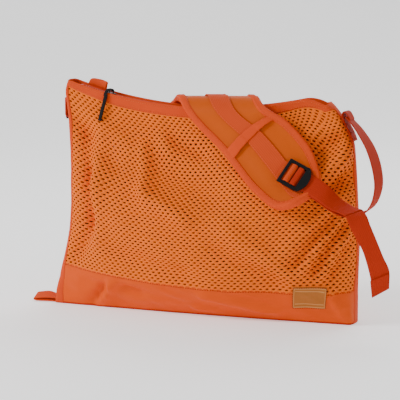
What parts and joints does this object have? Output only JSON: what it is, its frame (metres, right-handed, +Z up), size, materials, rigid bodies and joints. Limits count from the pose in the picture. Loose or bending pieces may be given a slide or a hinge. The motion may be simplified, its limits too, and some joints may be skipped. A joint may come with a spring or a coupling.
{
  "type": "mesh ball bag",
  "caption": "Flat mesh shoulder bag for balls with a zip top, nylon base and a padded webbing strap",
  "frame": {"origin": "middle of the underside of the base, on the floor", "axes": "+X along the bag to its right seen from the front, -Y out of the front, +Z up"},
  "size_m": [0.5078, 0.1609, 0.3069],
  "materials": {
    "mesh": "open warp-knit mesh, apricot orange",
    "nylon": "plain woven nylon, slight satin sheen",
    "grosgrain": "ribbed coral-red tape",
    "webbing": "flat woven webbing, dark orange-red",
    "pad_satin": "golden-orange satin over foam",
    "zip_tape": "woven zip tape",
    "zip_teeth": "moulded zip teeth, satin",
    "label": "blank tan patch",
    "black_plastic": "glossy black moulding"
  },
  "bodies": {
    "bag": {"base_panel": "nylon", "base_band_front": "nylon", "base_band_rear": "nylon", "mesh_panel_front": "mesh", "mesh_panel_rear": "mesh", "side_binding_left": "grosgrain", "side_binding_right": "grosgrain", "top_band_front": "grosgrain", "top_band_rear": "grosgrain", "zip_tape_front": "zip_tape", "zip_tape_rear": "zip_tape", "zip_teeth_front": "zip_teeth", "zip_teeth_rear": "zip_teeth", "zip_stops": "zip_teeth", "zip_end_tab": "grosgrain", "label_patch": "label", "corner_loop": "grosgrain", "pad_cushion_rear": "pad_satin", "pad_binding_rear": "grosgrain", "pad_webbing_rear": "grosgrain", "cross_band_rear": "grosgrain", "strap_anchor_right": "webbing", "strap_anchor_left": "webbing", "left_buckle": "black_plastic", "rear_webbing": "webbing"},
    "strap_front": {"pad_cushion_front": "pad_satin", "pad_binding_front": "grosgrain", "pad_webbing_front": "grosgrain", "cross_band_front": "grosgrain", "load_strap": "webbing", "tail_run": "webbing"},
    "zip_slider": {"zip_slider": "black_plastic"},
    "zip_puller": {"zip_puller_cord": "black_plastic", "zip_puller_grip": "black_plastic"},
    "ladder_lock": {"ladder_lock": "black_plastic", "lock_webbing": "webbing", "pad_end_loop": "webbing"},
    "strap_tail": {"tail_end": "webbing"}
  },
  "joints": [
    {"name": "zip_slide", "type": "hinge", "parent": "bag", "child": "zip_slider", "pos_m": [0.008, 0, 0.869], "axis": [0, -1, 0], "range_deg": [0, 24.2]},
    {"name": "zip_puller_swing", "type": "hinge", "parent": "zip_slider", "child": "zip_puller", "pos_m": [-0.12782, 0, 0.2854], "axis": [-0.974, 0, 0.2267], "range_deg": [0, 110]},
    {"name": "strap_lift", "type": "hinge", "parent": "bag", "child": "strap_front", "pos_m": [0.019, 0, 0.285], "axis": [-1, 0, 0], "range_deg": [0, 35]},
    {"name": "lock_tilt", "type": "hinge", "parent": "strap_front", "child": "ladder_lock", "pos_m": [0.12254, -0.05412, 0.1984], "axis": [-0.3998, -0.5024, -0.7666], "range_deg": [0, 20]},
    {"name": "tail_swing", "type": "hinge", "parent": "strap_front", "child": "strap_tail", "pos_m": [0.221, -0.075, 0.151], "axis": [-0.6897, -0.6797, -0.2499], "range_deg": [0, 45]}
  ]
}
